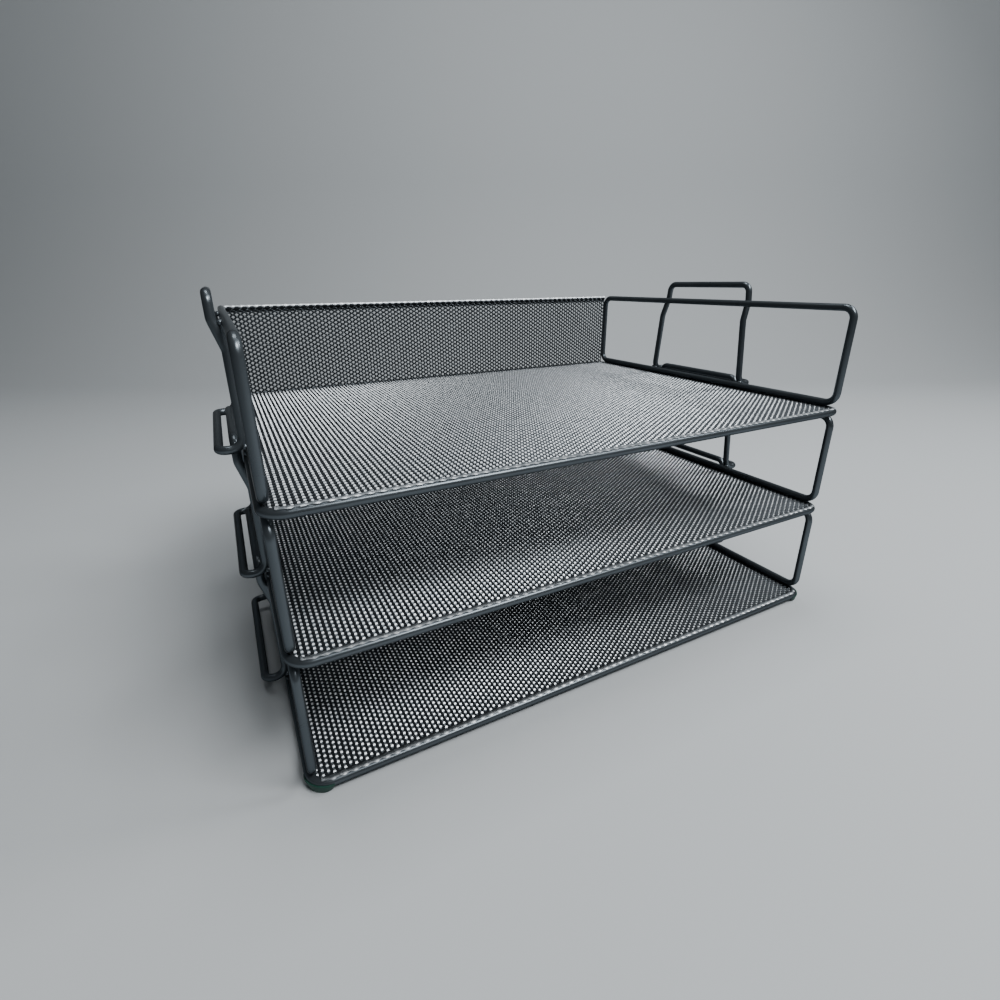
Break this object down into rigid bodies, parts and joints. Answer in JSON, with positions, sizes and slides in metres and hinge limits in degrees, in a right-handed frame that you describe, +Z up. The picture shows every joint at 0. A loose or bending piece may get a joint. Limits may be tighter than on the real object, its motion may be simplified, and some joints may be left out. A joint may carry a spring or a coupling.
{
  "type": "stacking letter trays",
  "caption": "Stack of wire-framed expanded-metal letter trays that lift apart, each open at the front with a mesh floor and back, on rubber corner feet.",
  "frame": {"origin": "on the table under the middle of the stack, at the middle of its outline", "axes": "+X to the right along the wide open front, +Y to the back, +Z up"},
  "size_m": [0.3792, 0.2576, 0.2223],
  "materials": {
    "powder_coated_wire": "satin charcoal powder coat on round steel wire",
    "coated_expanded_metal": "thin satin charcoal powder coat on expanded steel, bright on the raised strands",
    "foot_rubber": "dark green-black moulded rubber"
  },
  "bodies": {
    "bottom_tray": {"bottom_rim_wire": "powder_coated_wire", "bottom_mesh_sheet": "coated_expanded_metal", "bottom_side_frame_left": "powder_coated_wire", "bottom_side_frame_right": "powder_coated_wire", "bottom_stacking_bracket_left": "powder_coated_wire", "bottom_stacking_bracket_right": "powder_coated_wire", "foot_front_left": "foot_rubber", "foot_front_right": "foot_rubber", "foot_back_left": "foot_rubber", "foot_back_right": "foot_rubber"},
    "middle_tray": {"middle_rim_wire": "powder_coated_wire", "middle_mesh_sheet": "coated_expanded_metal", "middle_side_frame_left": "powder_coated_wire", "middle_side_frame_right": "powder_coated_wire", "middle_stacking_bracket_left": "powder_coated_wire", "middle_stacking_bracket_right": "powder_coated_wire"},
    "top_tray": {"top_rim_wire": "powder_coated_wire", "top_mesh_sheet": "coated_expanded_metal", "top_side_frame_left": "powder_coated_wire", "top_side_frame_right": "powder_coated_wire", "top_stacking_bracket_left": "powder_coated_wire", "top_stacking_bracket_right": "powder_coated_wire"}
  },
  "joints": [
    {"name": "middle_lift", "type": "slide", "parent": "bottom_tray", "child": "middle_tray", "axis": [0, 0, 1], "range_m": [0, 0.03]},
    {"name": "top_lift", "type": "slide", "parent": "middle_tray", "child": "top_tray", "axis": [0, 0, 1], "range_m": [0, 0.03]}
  ]
}
